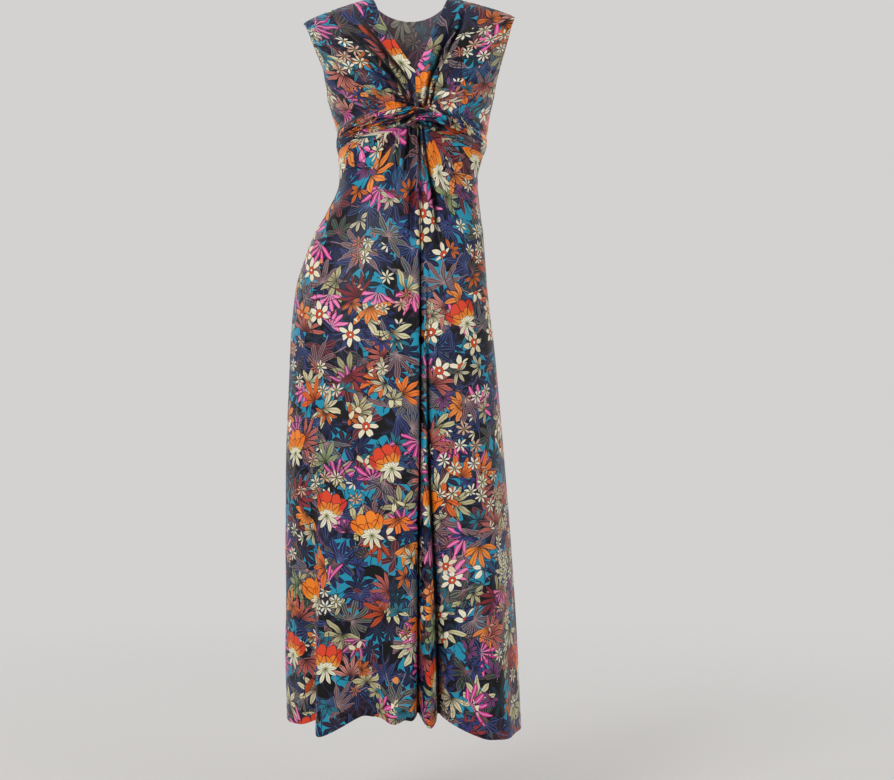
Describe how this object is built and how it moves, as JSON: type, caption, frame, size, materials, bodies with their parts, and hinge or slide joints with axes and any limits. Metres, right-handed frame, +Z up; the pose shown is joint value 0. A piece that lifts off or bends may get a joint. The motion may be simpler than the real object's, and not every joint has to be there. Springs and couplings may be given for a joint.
{
  "type": "maxi dress",
  "caption": "Sleeveless V-neck maxi dress in printed stretch jersey, gathered into a twist knot under the bust above a long A-line skirt, worn and hollow.",
  "frame": {"origin": "midway between the shoulders, at the height where the dress bears on them", "axes": "+Z up along the standing wearer; the front faces -Y; +X is the wearer's left"},
  "size_m": [0.4195, 0.3386, 1.3059],
  "materials": {
    "front_bodice_right": "printed stretch jersey with a soft sheen",
    "front_bodice_left": "printed stretch jersey with a soft sheen",
    "twist_band_right": "printed stretch jersey with a soft sheen",
    "twist_band_left": "printed stretch jersey with a soft sheen",
    "skirt_front": "printed stretch jersey with a soft sheen",
    "back": "printed stretch jersey with a soft sheen"
  },
  "bodies": {
    "root": {"front_bodice_right": "front_bodice_right", "front_bodice_left": "front_bodice_left", "twist_band_right": "twist_band_right", "twist_band_left": "twist_band_left", "skirt_front": "skirt_front", "back": "back"}
  },
  "joints": []
}
